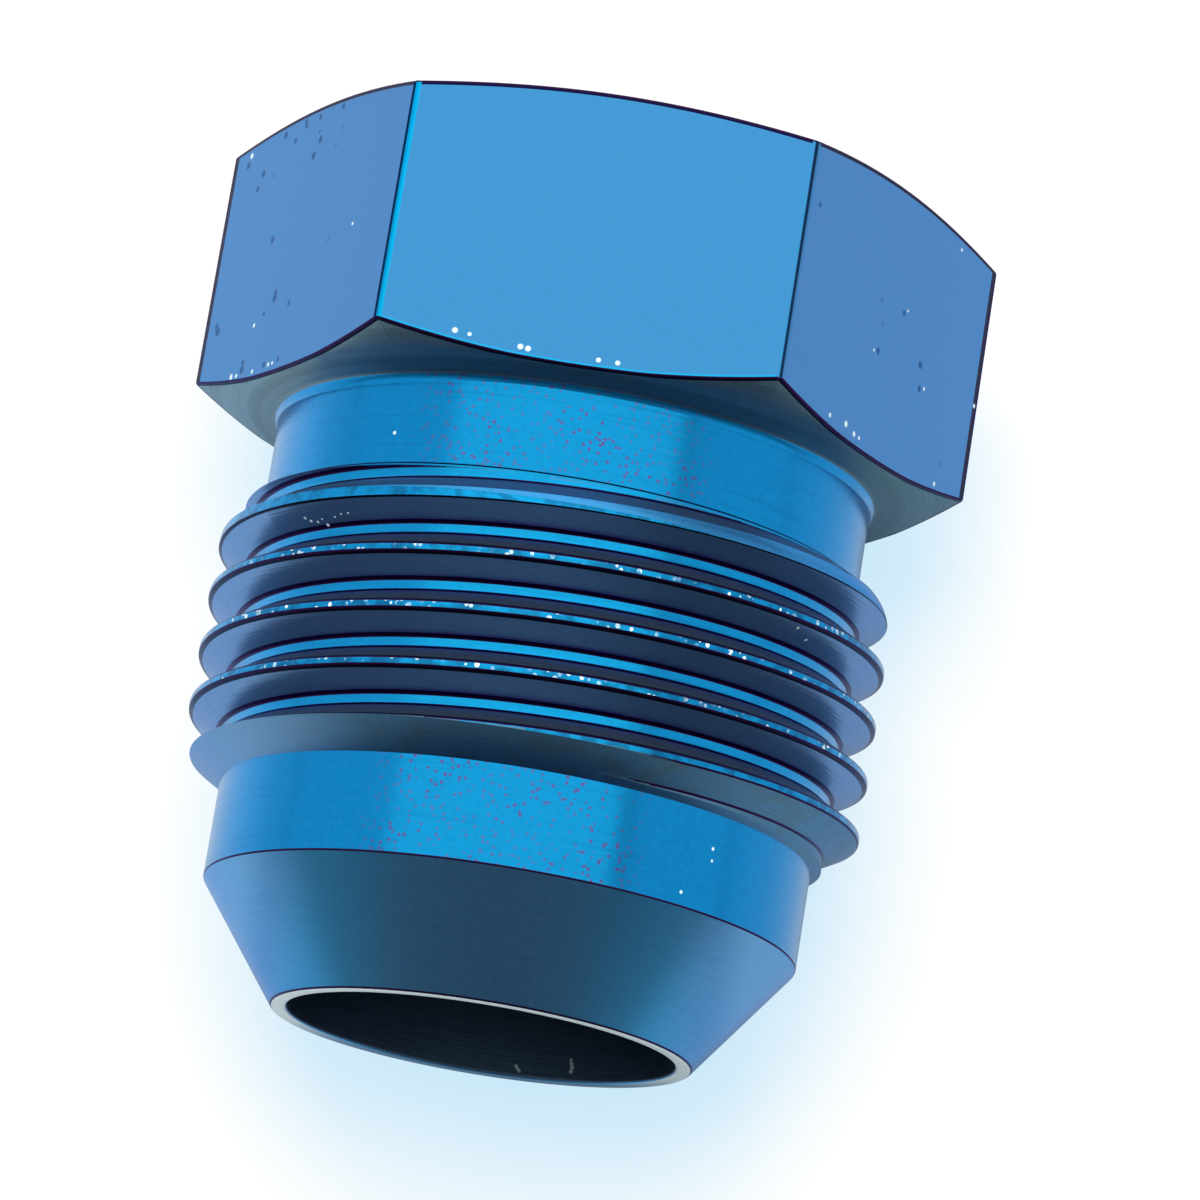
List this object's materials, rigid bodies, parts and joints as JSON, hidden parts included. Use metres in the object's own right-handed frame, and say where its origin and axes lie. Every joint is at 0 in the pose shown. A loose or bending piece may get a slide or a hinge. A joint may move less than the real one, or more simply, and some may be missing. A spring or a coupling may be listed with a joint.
{
  "type": "hexagon flare fitting plug",
  "caption": "Blue anodised aluminium plug with a hexagon head, an external thread and a 37 degree sealing cone, drilled from the nose. It closes a flared tube nut.",
  "frame": {"origin": "centre of the flat nose face, on the plug's axis, where the sealing cone ends", "axes": "+Y along the axis from the nose to the hexagon head, +Z out of the hexagon flat that faces up when the plug lies on the opposite flat"},
  "size_m": [0.022, 0.0248, 0.019],
  "materials": {
    "anodised_blue": "satin blue anodised"
  },
  "bodies": {
    "root": {"plug_body": "anodised_blue"}
  },
  "joints": []
}
